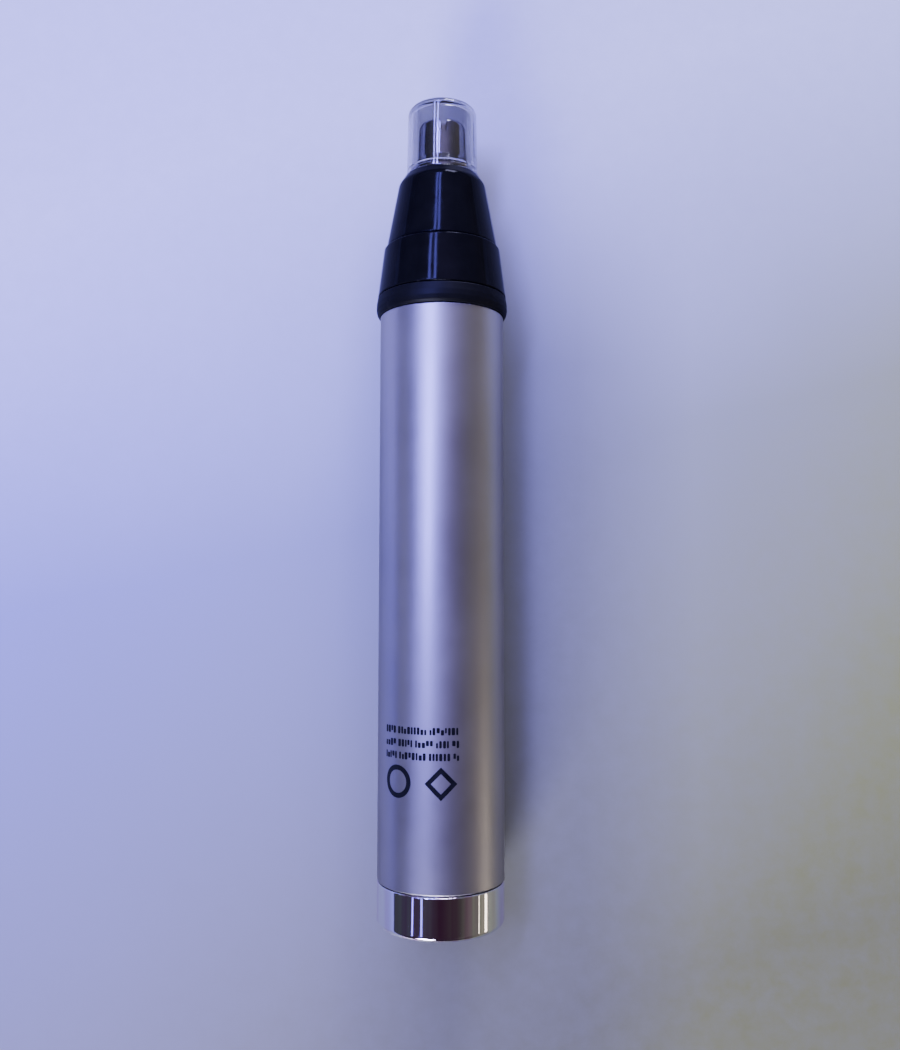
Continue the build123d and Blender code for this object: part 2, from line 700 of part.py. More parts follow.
def motor_terminals():
    """Two solder tabs through the end bell."""
    tabs = Part()
    eye_z, eye_radius = TERMINAL_EYE
    for x in both(TERMINAL_X):
        tab = block(both(TERMINAL_HALF_THICK, x), both(TERMINAL_HALF_WIDTH), TERMINAL_SPAN)
        tabs += tab - Pos(x, 0, eye_z) * Rot(0, 90, 0) * Cylinder(eye_radius, 2 * OVER)
    return tabs


def motor_brushes():
    """Two sprung leaves that bear on the commutator."""
    leaves = Part()
    for side in (-1, 1):
        inner = side * BRUSH_INNER
        leaf = block(sorted((inner, side * BRUSH_OUTER)), BRUSH_REACH, BRUSH_SPAN)
        foot = block(sorted((inner, side * BRUSH_FOOT)), BRUSH_FOOT_REACH, BRUSH_SPAN)
        leaves += leaf + foot
    return leaves


def motor_leads():
    """Two leads from the board to the motor terminals."""
    leads = Part()
    for side in (-1, 1):
        start = side * MOTOR_LEAD_X
        path = [(start, MOTOR_LEAD_Y, BOARD_TOP), (start, MOTOR_LEAD_Y, MOTOR_LEAD_DROP)]
        path += [(side * TERMINAL_X, y, z) for y, z in MOTOR_LEAD_BENDS]
        leads += wire(path)
    return leads


def motor_shaft():
    """Shaft through both bushes into the drive coupling."""
    shaft = rod(SHAFT_RADIUS, *SHAFT_SPAN)
    return chamfer(shaft.edges().filter_by(GeomType.CIRCLE), SHAFT_CHAMFER)


def armature_core():
    """Three-pole lamination stack."""
    low, high = CORE_SPAN
    core = rod(CORE_HUB, low, high)
    for number in range(POLES):
        turn = number * 360 / POLES
        core += Rot(0, 0, turn) * block(POLE_REACH, both(POLE_HALF_WIDTH), CORE_SPAN)
        shoe = wedge(ROTOR_RADIUS, turn, POLE_SHOE_HALF_DEG, low, high)
        core += shoe - rod(POLE_SHOE_INNER, low - OVER, high + OVER)
    return core - rod(SHAFT_RADIUS, low - OVER, high + OVER)


def armature_windings():
    """One coil around each pole."""
    low, high = CORE_SPAN
    coils = Part()
    for number in range(POLES):
        coil = block(COIL_REACH, both(COIL_HALF_WIDTH), (low - COIL_OVERHANG, high + COIL_OVERHANG))
        coil = fillet(coil.edges().filter_by(Axis.X), COIL_ROUND)
        pole = block((0, ROTOR_RADIUS + OVER), both(POLE_HALF_WIDTH), CORE_SPAN)
        coils += Rot(0, 0, number * 360 / POLES) * (coil - pole)
    return coils


def commutator():
    """Split copper ring under the brushes."""
    low, high = COMMUTATOR_SPAN
    inner, half_slit = COMMUTATOR_SLIT
    segments = ring(COMMUTATOR_RADIUS, SHAFT_RADIUS, low, high)
    for number in range(POLES):
        slit = block((inner, COMMUTATOR_RADIUS + OVER), both(half_slit), (low - OVER, high + OVER))
        segments -= Rot(0, 0, (number + 0.5) * 360 / POLES) * slit
    return segments


# ---------------------------------------------------------------- drive line
def drive_coupling():
    """Coupling pressed on the motor shaft, with a square socket for the blade spindle."""
    coupling = turned(
        [
            (0, COUPLING_BOTTOM),
            (COUPLING_RADIUS, COUPLING_BOTTOM),
            (COUPLING_RADIUS, COUPLING_TOP),
            (0, COUPLING_TOP),
        ],
        [(1, COUPLING_ROUND), (2, COUPLING_ROUND)],
    )
    coupling -= rod(SHAFT_RADIUS, COUPLING_BOTTOM - OVER, SHAFT_SPAN[1])
    coupling -= block(both(SOCKET_HALF), both(SOCKET_HALF), (SOCKET_FLOOR, COUPLING_TOP + OVER))
    floor, low, high = COUPLING_GROOVE
    return coupling - ring(COUPLING_RADIUS + OVER, floor, low, high)


def blade_spindle():
    """Spindle with a square tail, a spring flange and a round front."""
    square = block(both(SPINDLE_SQUARE_HALF), both(SPINDLE_SQUARE_HALF), (SPINDLE_TAIL, COUPLING_TOP))
    spindle = square + rod(SPINDLE_RADIUS, COUPLING_TOP, SPINDLE_TOP)
    return spindle + rod(SPINDLE_FLANGE_RADIUS, SPINDLE_FLANGE, SPINDLE_FLANGE + SPINDLE_FLANGE_THICK)


def blade_spring():
    """Coil spring that holds the inner blade against the cutter's tip."""
    low = COUPLING_TOP + SPRING_WIRE_RADIUS
    height = SPINDLE_FLANGE - SPRING_WIRE_RADIUS - low
    path = Helix(pitch=SPRING_PITCH, height=height, radius=SPRING_COIL_RADIUS)
    section = Plane(origin=path @ 0, z_dir=path % 0) * Circle(SPRING_WIRE_RADIUS)
    return Pos(0, 0, low) * sweep(section, path=path, is_frenet=True)


def blade_holder():
    """Moulded holder that joins the blade to the spindle."""
    holder = turned(
        [
            (0, HOLDER_BOTTOM),
            (HOLDER_NECK_RADIUS, HOLDER_BOTTOM),
            (HOLDER_RADIUS, HOLDER_SHOULDER),
            (HOLDER_RADIUS, HOLDER_TOP),
            (0, HOLDER_TOP),
        ],
        [(3, HOLDER_ROUND)],
    )
    holder -= rod(SPINDLE_RADIUS, HOLDER_BOTTOM - OVER, SPINDLE_TOP)
    for turn in (0, 90):
        slit = block(both(CUTTER_BORE), both(BLADE_THICK / 2), (BLADE_BOTTOM, HOLDER_TOP + OVER))
        holder -= Rot(0, 0, turn) * slit
    return Rot(0, 0, CUTTER_FIRST_SLOT_DEG) * holder


def inner_blade():
    """Two crossed blade frames that sweep past the slots of the cutter."""
    tip = CUTTER_TOP - CUTTER_END_THICK - BLADE_TIP_CLEAR
    reach = CUTTER_BORE - BLADE_CLEAR
    corner_in, corner_down = BLADE_CORNER
    room = turned(
        [
            (0, BLADE_BOTTOM - OVER),
            (BLADE_TAIL_RADIUS, BLADE_BOTTOM - OVER),
            (BLADE_TAIL_RADIUS, BLADE_SHOULDERS[0]),
            (reach, BLADE_SHOULDERS[1]),
            (reach, tip - corner_down),
            (reach - corner_in, tip),
            (0, tip),
        ]
    )
    blades = Part()
    for turn in (0, 90):
        plate = block(both(CUTTER_BORE), both(BLADE_THICK / 2), (BLADE_BOTTOM, CUTTER_TOP))
        plate -= block(both(BLADE_WINDOW_HALF), both(BLADE_THICK), BLADE_WINDOW)
        blades += Rot(0, 0, turn) * plate
    return Rot(0, 0, CUTTER_FIRST_SLOT_DEG) * (blades & room)


# ---------------------------------------------------------------- collar and head
def collar_ring():
    """Matte collar with a spigot into the tube, and a bayonet neck for the head."""
    collar = turned(
        [
            (COLLAR_DRIVE_HOLE, COLLAR_FLOOR[0]),
            (COLLAR_SPIGOT_BORE, COLLAR_FLOOR[0]),
            (COLLAR_SPIGOT_BORE, COLLAR_SPIGOT_BOTTOM),
            (SPIGOT_RADIUS, COLLAR_SPIGOT_BOTTOM),
            (SPIGOT_RADIUS, COLLAR_FOOT),
            (COLLAR_FOOT_RADIUS, COLLAR_FOOT),
            (COLLAR_SHOULDER_RADIUS, COLLAR_SHOULDER),
            (WIDEST_RADIUS, COLLAR_BELLY[0]),
            (WIDEST_RADIUS, COLLAR_BELLY[1]),
            (COLLAR_SHOULDER_RADIUS, COLLAR_TOP),
            (NECK_RADIUS, COLLAR_TOP),
            (NECK_RADIUS, NECK_TOP),
            (NECK_BORE, NECK_TOP),
            (NECK_BORE, COLLAR_FLOOR[1]),
            (COLLAR_DRIVE_HOLE, COLLAR_FLOOR[1]),
        ],
        COLLAR_ROUNDS,
    )
    collar -= ring(NECK_RADIUS + OVER, NECK_RADIUS - SEAL_GROOVE_DEPTH, *SEAL_GROOVE)
    for middle in (0, 180):
        lug = wedge(LUG_RADIUS, middle, LUG_HALF_DEG, LUG_BOTTOM, LUG_TOP)
        collar += lug - rod(NECK_RADIUS - LUG_ROOT, LUG_BOTTOM - OVER, LUG_TOP + OVER)
    return collar


def neck_seal():
    """Rubber ring in the neck that gives the head its drag."""
    middle = sum(SEAL_GROOVE) / 2
    return Pos(0, 0, middle) * Torus(NECK_RADIUS - SEAL_THICK_RADIUS, SEAL_THICK_RADIUS)


def head_housing():
    """Lower cone: twists on the bayonet, carries the spindle guide and the spout for the cutter cap."""
    bore = NECK_RADIUS + NECK_RUN_CLEAR
    housing = turned(
        [
            (bore, HEAD_BOTTOM),
            (HEAD_FOOT_RADIUS, HEAD_BOTTOM),
            (HEAD_TOP_RADIUS, HEAD_TOP),
            (SPOUT_RADIUS, HEAD_TOP),
            (SPOUT_RADIUS, SPOUT_TOP),
            (SPOUT_BORE, SPOUT_TOP),
            (SPOUT_BORE, GUIDE_TOP),
            (GUIDE_SEAT, GUIDE_TOP),
            (GUIDE_SEAT, GUIDE_BOTTOM),
            (bore, GUIDE_BOTTOM),
        ],
        HEAD_ROUNDS,
    )
    reach = LUG_RADIUS + NECK_RUN_CLEAR
    half = LUG_HALF_DEG + LUG_CLEAR_DEG
    for middle in (0, 180):
        sweep_middle = middle - TWIST_DEG / 2
        housing -= wedge(reach, sweep_middle, half + TWIST_DEG / 2, LUG_BOTTOM - LUG_CLEAR, GUIDE_BOTTOM)
        housing -= wedge(reach, middle - TWIST_DEG, half, HEAD_BOTTOM - OVER, LUG_BOTTOM)
    return housing - ring(SPOUT_RADIUS + OVER, SPOUT_RADIUS - SPOUT_GROOVE_DEPTH, *SPOUT_GROOVE)


def spindle_guide():
    """Bearing of the blade spindle in the head."""
    hole = SPINDLE_RADIUS + GUIDE_CLEAR
    guide = ring(GUIDE_SEAT, hole, GUIDE_BOTTOM, GUIDE_TOP)
    return guide + ring(GUIDE_FLANGE_RADIUS, hole, GUIDE_TOP, GUIDE_TOP + GUIDE_FLANGE_THICK)


# ---------------------------------------------------------------- cutter cap
def head_cone():
    """Upper cone that pulls off the spout with the outer cutter."""
    bore = SPOUT_RADIUS + CAP_GRIP_CLEAR
    return turned(
        [
            (bore, CONE_BOTTOM),
            (CONE_FOOT_RADIUS, CONE_BOTTOM),
            (CONE_SHOULDER_RADIUS, CONE_SHOULDER),
            (CONE_TOP_RADIUS, CONE_TOP),
            (CONE_SEAT, CONE_TOP),
            (CONE_SEAT, CONE_FLOOR),
            (bore, CONE_FLOOR),
        ],
        CONE_ROUNDS,
    )


def cutter_tube():
    """Polished outer cutter: skirt in the cone, flange, flared foot and slotted round tip."""
    cutter = turned(
        [
            (CUTTER_SKIRT_BORE, CUTTER_SKIRT_BOTTOM),
            (CONE_SEAT, CUTTER_SKIRT_BOTTOM),
            (CONE_SEAT, CONE_TOP),
            (CUTTER_FLANGE, CONE_TOP),
            (CUTTER_FLANGE, CUTTER_FLANGE_TOP),
            *CUTTER_FLARE,
            (CUTTER_TIP_RADIUS, CUTTER_TOP),
            (0, CUTTER_TOP),
            (0, CUTTER_TOP - CUTTER_END_THICK),
            (CUTTER_BORE, CUTTER_TOP - CUTTER_END_THICK),
            (CUTTER_BORE, CUTTER_BORE_BOTTOM),
            (CUTTER_SKIRT_BORE, CUTTER_SKIRT_BORE_TOP),
        ],
        CUTTER_ROUNDS,
    )
    slot_z = (CUTTER_TOP - CUTTER_SLOT_DEPTH, CUTTER_TOP + OVER)
    slot = block((CUTTER_SLOT_INNER, CUTTER_FLANGE), both(CUTTER_SLOT_WIDTH / 2), slot_z)
    slot = fillet(slot.edges().filter_by(Axis.X), CUTTER_SLOT_ROUND)
    for number in range(CUTTER_SLOTS):
        cutter -= Rot(0, 0, CUTTER_FIRST_SLOT_DEG + number * 360 / CUTTER_SLOTS) * slot
    return cutter


def cutter_retainer():
    """Ring that holds the outer cutter's skirt in the cone."""
    return ring(CONE_SEAT, RETAINER_BORE, RETAINER_BOTTOM, CUTTER_SKIRT_BOTTOM)


def clear_cap():
    """Transparent dust cap that grips the cutter's flange."""
    grip = CUTTER_FLANGE + CAP_GRIP_CLEAR
    inner_step, grip_top = CAP_INNER_STEP
    return turned(
        [
            (grip, CAP_BOTTOM),
            (CAP_FOOT_RADIUS, CAP_BOTTOM),
            (CAP_FOOT_RADIUS, CAP_FOOT_TOP),
            CAP_STEP,
            (CAP_TOP_RADIUS, LENGTH),
            (0, LENGTH),
            (0, CAP_WALL_END),
            (CAP_INNER_TOP, CAP_WALL_END),
            inner_step,
            (grip, grip_top),
        ],
        CLEAR_CAP_ROUNDS,
    )


def lay_down(shape):
    """Lay the upright trimmer on the surface, cutter along +Y, turned so the slide is underneath."""
    return Pos(0, -LENGTH / 2, WIDEST_RADIUS) * Rot(0, -LEAN_DEG, 0) * Rot(-90, 0, 0) * shape


def main():
    frame = chassis()
    pieces = {
        "base_cap": base_cap(),
        "base_insert": base_insert(),
        "charge_contacts": charge_contacts(),
        "dropper_capacitor": dropper_capacitor(),
        "charge_leads": charge_leads(),
        "body_tube": body_tube(),
        "switch_knob": switch_knob(),
        "switch_slider": switch_slider(),
        "switch_actuator": switch_actuator(),
        "slide_switch_body": slide_switch_body(),
        "chassis_front": chassis_front(frame),
        "chassis_back": chassis_back(frame),
        "chassis_screws": chassis_screws(),
        "battery_cell": battery_cell(),
        "battery_tab_positive": battery_tab(CELL_TOP),
        "battery_tab_negative": battery_tab(CELL_BOTTOM - TAB_THICK),
        "circuit_board": circuit_board(),
        "rectifier_diodes": rectifier_diodes(),
        "limiting_resistor": limiting_resistor(),
        "motor_can": motor_can(),
        "motor_end_bell": motor_end_bell(),
        "motor_front_bush": bush(FRONT_BUSH_BOTTOM, BOSS_TOP),
        "motor_rear_bush": bush(MOTOR_BOTTOM, BELL_FLOOR),
        "motor_magnets": motor_magnets(),
        "motor_terminals": motor_terminals(),
        "motor_brushes": motor_brushes(),
        "motor_leads": motor_leads(),
        "motor_shaft": motor_shaft(),
        "armature_core": armature_core(),
        "armature_windings": armature_windings(),
        "commutator": commutator(),
        "drive_coupling": drive_coupling(),
        "blade_spindle": blade_spindle(),
        "blade_spring": blade_spring(),
        "blade_holder": blade_holder(),
        "inner_blade": inner_blade(),
        "collar_ring": collar_ring(),
        "neck_seal": neck_seal(),
        "head_housing": head_housing(),
        "spindle_guide": spindle_guide(),
        "head_cone": head_cone(),
        "cutter_tube": cutter_tube(),
        "cutter_retainer": cutter_retainer(),
        "clear_cap": clear_cap(),
    }
    os.makedirs("parts", exist_ok=True)
    for node, shape in pieces.items():
        export_step(lay_down(shape), f"parts/{node}.step")


main()
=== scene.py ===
"""Looks of the nose hair trimmer: materials, printed block, table, lights and camera.

Lengths are metres; a name or a comment says so where they are millimetres. Colours are linear RGB."""

import json
import math
import random

import bmesh
import bpy
from mathutils import Matrix, Vector


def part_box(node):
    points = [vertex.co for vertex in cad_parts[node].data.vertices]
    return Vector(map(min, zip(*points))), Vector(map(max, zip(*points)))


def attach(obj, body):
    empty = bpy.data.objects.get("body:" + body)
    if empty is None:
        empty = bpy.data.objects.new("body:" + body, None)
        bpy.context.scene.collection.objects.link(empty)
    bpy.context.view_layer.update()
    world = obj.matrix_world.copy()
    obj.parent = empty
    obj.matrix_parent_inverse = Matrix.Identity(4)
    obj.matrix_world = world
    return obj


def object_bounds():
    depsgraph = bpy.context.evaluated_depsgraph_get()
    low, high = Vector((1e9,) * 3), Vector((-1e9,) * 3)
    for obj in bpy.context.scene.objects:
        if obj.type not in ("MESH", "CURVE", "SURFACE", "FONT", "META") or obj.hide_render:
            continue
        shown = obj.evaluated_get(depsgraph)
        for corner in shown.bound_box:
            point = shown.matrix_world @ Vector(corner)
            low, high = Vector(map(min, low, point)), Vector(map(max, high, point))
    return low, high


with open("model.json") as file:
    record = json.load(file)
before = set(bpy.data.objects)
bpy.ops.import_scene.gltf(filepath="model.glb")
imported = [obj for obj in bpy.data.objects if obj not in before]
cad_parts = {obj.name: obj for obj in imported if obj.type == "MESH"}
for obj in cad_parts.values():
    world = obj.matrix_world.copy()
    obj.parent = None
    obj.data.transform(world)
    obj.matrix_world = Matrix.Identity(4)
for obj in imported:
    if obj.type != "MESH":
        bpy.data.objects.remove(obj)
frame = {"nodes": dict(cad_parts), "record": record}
CAD_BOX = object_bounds()

MM = 0.001
TUBE_LOW, TUBE_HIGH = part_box("body_tube")
TUBE_RADIUS = (TUBE_HIGH.x - TUBE_LOW.x) / 2
AXIS_Z = (TUBE_HIGH.z + TUBE_LOW.z) / 2
BASE_Y = CAD_BOX[0].y


def new_object(name, data):
    """Object in the scene that shows the given data."""
    obj = bpy.data.objects.new(name, data)
    bpy.context.scene.collection.objects.link(obj)
    return obj


# ---------------------------------------------------------------- node helpers
class Recipe:
    """One procedural material: a Principled shader and the nodes that drive it, in object coordinates."""

    def __init__(self, name, **constants):
        self.material = bpy.data.materials.new(name)
        self.material.use_nodes = True
        self.tree = self.material.node_tree
        self.shader = self.tree.nodes["Principled BSDF"]
        self.place = self.tree.nodes.new("ShaderNodeTexCoord").outputs["Object"]
        for socket, value in constants.items():
            self.shader.inputs[socket.replace("_", " ")].default_value = value

    def node(self, kind, **settings):
        made = self.tree.nodes.new("ShaderNode" + kind)
        for key, value in settings.items():
            setattr(made, key, value)
        return made

    def link(self, source, target):
        self.tree.links.new(source, target)

    def stretched(self, x, y, z):
        """Object coordinates scaled along each axis."""
        mapping = self.node("Mapping")
        mapping.inputs["Scale"].default_value = (x, y, z)
        self.link(self.place, mapping.inputs["Vector"])
        return mapping.outputs["Vector"]

    def noise(self, scale, detail=3.0, rough=0.55, vector=None, distortion=0.0):
        """Noise value; scale is in features per metre."""
        made = self.node("TexNoise")
        made.inputs["Scale"].default_value = scale
        made.inputs["Detail"].default_value = detail
        made.inputs["Roughness"].default_value = rough
        made.inputs["Distortion"].default_value = distortion
        self.link(vector or self.place, made.inputs["Vector"])
        return made.outputs["Fac"]

    def along(self, x, y):
        """Distance in metres along a level direction."""
        made = self.node("VectorMath", operation="DOT_PRODUCT")
        made.inputs[1].default_value = (x, y, 0)
        self.link(self.place, made.inputs[0])
        return made.outputs["Value"]

    def cells(self, scale):
        """Distance to the nearest cell point."""
        made = self.node("TexVoronoi")
        made.inputs["Scale"].default_value = scale
        self.link(self.place, made.inputs["Vector"])
        return made.outputs["Distance"]

    def span(self, value, low, high, to_low=0.0, to_high=1.0):
        """Map a value from one range to another, clamped."""
        made = self.node("MapRange")
        made.inputs["From Min"].default_value = low
        made.inputs["From Max"].default_value = high
        made.inputs["To Min"].default_value = to_low
        made.inputs["To Max"].default_value = to_high
        self.link(value, made.inputs["Value"])
        return made.outputs["Result"]

    def spread(self, noise, to_low=0.0, to_high=1.0):
        """Map the usual range of a noise value to another range."""
        return self.span(noise, 0.3, 0.7, to_low, to_high)

    def combine(self, first, second, operation="ADD"):
        """Sum or other arithmetic of two values, either of which may be a number."""
        made = self.node("Math", operation=operation)
        for socket, value in zip(made.inputs, (first, second)):
            if isinstance(value, (int, float)):
                socket.default_value = value
            else:
                self.link(value, socket)
        return made.outputs["Value"]

    def blend(self, factor, first, second):
        """Colour between two colours."""
        made = self.node("Mix", data_type="RGBA")
        self.link(factor, made.inputs["Factor"])
        for name, value in (("A", first), ("B", second)):
            socket = next(s for s in made.inputs if s.name == name and s.type == "RGBA")
            if isinstance(value, tuple):
                socket.default_value = (*value, 1)
            else:
                self.link(value, socket)
        return next(s for s in made.outputs if s.type == "RGBA")

    def edges(self, radius):
        """Mask that is 1 along sharp outer edges, and the rounded normal."""
        level, sharp = 0.995, 0.90  # cosine between the plain and the rounded normal
        bevel = self.node("Bevel", samples=4)
        bevel.inputs["Radius"].default_value = radius
        plain = self.node("NewGeometry").outputs["Normal"]
        dot = self.node("VectorMath", operation="DOT_PRODUCT")
        self.link(bevel.outputs["Normal"], dot.inputs[0])
        self.link(plain, dot.inputs[1])
        return self.span(dot.outputs["Value"], level, sharp), bevel.outputs["Normal"]

    def bump(self, height, depth, strength=1.0, normal=None):
        """Normal from a height value; depth is in metres."""
        made = self.node("Bump")
        made.inputs["Distance"].default_value = depth
        made.inputs["Strength"].default_value = strength
        self.link(height, made.inputs["Height"])
        if normal is not None:
            self.link(normal, made.inputs["Normal"])
        return made.outputs["Normal"]

    def use(self, **sockets):
        """Drive the shader's inputs and give back the material."""
        for name, value in sockets.items():
            self.link(value, self.shader.inputs[name.replace("_", " ")])
        return self.material


# ---------------------------------------------------------------- materials
# Black plastic with a share of metal and a dark edge tint, which keep its sides dark beside the table.
BLACK_PLASTIC = {"IOR": 1.2, "Metallic": 0.6, "Specular_Tint": (0.1, 0.1, 0.1, 1.0)}


def anodised_aluminium():
    """Bead-blasted, anodised tube: soft sheen, very fine grain, rubbed edges."""
    m = Recipe("anodised_aluminium", Metallic=1.0, Specular_Tint=(0.5, 0.5, 0.4, 1.0))
    grain = m.noise(9000, 2, 0.6)
    cloud = m.noise(60, 4, 0.6)
    drawn = m.noise(900, 3, 0.5, m.stretched(1, 0.03, 1))
    edge, rounded = m.edges(0.12 * MM)
    tone = m.blend(m.spread(cloud), (0.39, 0.37, 0.37), (0.43, 0.41, 0.41))
    worn = m.blend(edge, tone, (0.62, 0.62, 0.66))
    rough = m.combine(m.spread(cloud, 0.36, 0.42), m.spread(grain, -0.02, 0.02))
    height = m.combine(grain, m.combine(drawn, 0.35, "MULTIPLY"))
    return m.use(Base_Color=worn, Roughness=rough, Normal=m.bump(height, 0.004 * MM, 0.5, rounded))


def mirror_chrome():
    """Chrome plating over moulded plastic: mirror with slight waves, finger smudges, fine wipe marks and
    painted reflection streaks along its length.
    """
    m = Recipe("mirror_chrome", Metallic=1.0)
    smudge = m.noise(140, 5, 0.65, distortion=0.6)
    wave = m.noise(110, 1, 0.4)
    wipe = m.noise(5200, 2, 0.5, m.stretched(1, 0.05, 1))
    edge, rounded = m.edges(0.15 * MM)
    # Purple and green streaks along the cap are painted reflection lines, put into the plating colour.
    painted_reflection_streaks = m.noise(620, 2, 0.5, m.stretched(1, 0.02, 0.3))
    plating_and_painted_streaks = m.blend(m.span(painted_reflection_streaks, 0.38, 0.62), (0.62, 0.44, 0.62), (0.74, 0.78, 0.76))
    tone = m.blend(edge, plating_and_painted_streaks, (0.92, 0.92, 0.94))
    rough = m.combine(m.span(smudge, 0.45, 0.75, 0.025, 0.10), m.span(wipe, 0.6, 0.8, 0.0, 0.05))
    normal = m.bump(wipe, 0.0015 * MM, 0.3, m.bump(wave, 0.06 * MM, 0.5, rounded))
    return m.use(Base_Color=tone, Roughness=rough, Normal=normal)


def gloss_black():
    """Injection-moulded gloss plastic: slight sink waves, hairline scratches, dust in the polish."""
    m = Recipe("gloss_black", **BLACK_PLASTIC)
    wave = m.noise(140, 1, 0.4)
    haze = m.noise(260, 5, 0.6)
    scratch = m.noise(3600, 3, 0.6, m.stretched(1, 0.04, 1))
    edge, rounded = m.edges(0.12 * MM)
    base = m.blend(m.span(haze, 0.35, 0.7), (0.0085, 0.0085, 0.0105), (0.0115, 0.0115, 0.0140))
    tone = m.blend(edge, base, (0.03, 0.03, 0.045))
    rough = m.combine(m.span(haze, 0.35, 0.7, 0.06, 0.12), m.span(scratch, 0.58, 0.72, 0.0, 0.12))
    normal = m.bump(scratch, 0.002 * MM, 0.3, m.bump(wave, 0.08 * MM, 0.5, rounded))
    return m.use(Base_Color=tone, Roughness=rough, Normal=normal)


def matte_black():
    """Spark-eroded satin plastic of the collar, slide and base insert."""
    m = Recipe("matte_black", **BLACK_PLASTIC)
    texture = m.cells(5200)
    haze = m.noise(180, 5, 0.6)
    edge, rounded = m.edges(0.15 * MM)
    base = m.blend(m.spread(haze), (0.009, 0.009, 0.011), (0.014, 0.014, 0.016))
    tone = m.blend(edge, base, (0.05, 0.05, 0.065))
    rough = m.spread(haze, 0.36, 0.50)
    return m.use(Base_Color=tone, Roughness=rough, Normal=m.bump(texture, 0.010 * MM, 0.45, rounded))


def polished_steel(name, tone, low, high, lines, grazing=1.0):
    """Turned and polished stainless steel: fine rings about the axis, brighter rubbed edges.

    low and high bound its roughness, lines is rings per metre and grazing tints its edge-on reflection."""
    m = Recipe(name, Metallic=1.0, Specular_Tint=(grazing, grazing, grazing, 1.0))
    rings = m.noise(lines, 3, 0.6, m.stretched(0.05, 1, 0.05))
    stain = m.noise(400, 4, 0.6)
    edge, rounded = m.edges(0.06 * MM)
    dark = tuple(c * 0.9 for c in tone)
    body = m.blend(m.spread(stain), dark, tone)
    worn = m.blend(edge, body, tuple(min(1.0, c * 1.3) for c in tone))
    rough = m.combine(m.spread(stain, low, high), m.span(rings, 0.4, 0.7, 0.0, 0.05))
    return m.use(Base_Color=worn, Roughness=rough, Normal=m.bump(rings, 0.002 * MM, 0.35, rounded))


def clear_plastic():
    """Transparent moulded cap: faint flow lines, hairline scratches and a trace of haze."""
    m = Recipe("clear_plastic", IOR=1.49, Transmission_Weight=1.0)
    flow = m.noise(220, 1, 0.4, m.stretched(1, 0.3, 1))
    scratch = m.noise(4200, 3, 0.6, m.stretched(1, 0.05, 1))
    haze = m.noise(300, 5, 0.6)
    tone = m.blend(m.spread(haze), (0.47, 0.47, 0.45), (0.53, 0.53, 0.51))
    rough = m.combine(m.span(haze, 0.45, 0.75, 0.0, 0.035), m.span(scratch, 0.6, 0.72, 0.0, 0.10))
    return m.use(Base_Color=tone, Roughness=rough, Normal=m.bump(flow, 0.03 * MM, 0.4))


def moulded(name, light, dark, low=0.35, high=0.5):
    """Plain moulded or lacquered surface with texture, tone drift and paler edges."""
    m = Recipe(name)
    texture = m.cells(4200)
    drift = m.noise(320, 5, 0.6)
    edge, rounded = m.edges(0.1 * MM)
    base = m.blend(m.spread(drift), dark, light)
    tone = m.blend(edge, base, tuple(min(1.0, c * 1.25 + 0.01) for c in light))
    rough = m.spread(drift, low, high)
    return m.use(Base_Color=tone, Roughness=rough, Normal=m.bump(texture, 0.006 * MM, 0.4, rounded))


def metal(name, light, dark, low=0.2, high=0.38):
    """Plain worked metal: drawn or rolled grain, tarnish and bright edges."""
    m = Recipe(name, Metallic=1.0)
    lines = m.noise(3200, 3, 0.6, m.stretched(1, 0.06, 1))
    tarnish = m.noise(420, 5, 0.65)
    edge, rounded = m.edges(0.08 * MM)
    base = m.blend(m.spread(tarnish), dark, light)
    tone = m.blend(edge, base, tuple(min(1.0, c * 1.25) for c in light))
    rough = m.combine(m.spread(tarnish, low, high), m.span(lines, 0.4, 0.7, 0.0, 0.08))
    return m.use(Base_Color=tone, Roughness=rough, Normal=m.bump(lines, 0.003 * MM, 0.5, rounded))


def wound_copper():
    """Enamelled wire laid side by side."""
    m = Recipe("wound_copper", Metallic=1.0)
    turns = m.node("TexWave", bands_direction="X")
    turns.inputs["Scale"].default_value = 900
    turns.inputs["Distortion"].default_value = 1.5
    m.link(m.place, turns.inputs["Vector"])
    drift = m.noise(600, 4, 0.6)
    tone = m.blend(m.spread(drift), (0.52, 0.20, 0.08), (0.72, 0.32, 0.15))
    rough = m.spread(drift, 0.18, 0.32)
    return m.use(Base_Color=tone, Roughness=rough, Normal=m.bump(turns.outputs["Fac"], 0.06 * MM, 0.8))


def stacked_steel():
    """Edges of thin stamped sheets, stacked along the axis."""
    m = Recipe("stacked_steel", Metallic=1.0)
    sheets = m.node("TexWave", bands_direction="Y")
    sheets.inputs["Scale"].default_value = 700
    m.link(m.place, sheets.inputs["Vector"])
    drift = m.noise(500, 4, 0.6)
    tone = m.blend(m.spread(drift), (0.22, 0.22, 0.24), (0.36, 0.36, 0.38))
    rough = m.spread(drift, 0.3, 0.45)
    return m.use(Base_Color=tone, Roughness=rough, Normal=m.bump(sheets.outputs["Fac"], 0.05 * MM, 0.7))


def ink():
    """Pad-printed ink: dark navy, slightly broken where the print is thin."""
    m = Recipe("pad_ink", IOR=1.2)
    speckle = m.noise(2600, 3, 0.7)
    drift = m.noise(500, 3, 0.6)
    tone = m.blend(m.spread(drift), (0.004, 0.004, 0.006), (0.007, 0.007, 0.010))
    thin = m.blend(m.span(speckle, 0.66, 0.74), tone, (0.03, 0.03, 0.04))
    rough = m.spread(drift, 0.32, 0.46)
    return m.use(Base_Color=thin, Roughness=rough, Normal=m.bump(speckle, 0.002 * MM, 0.4))


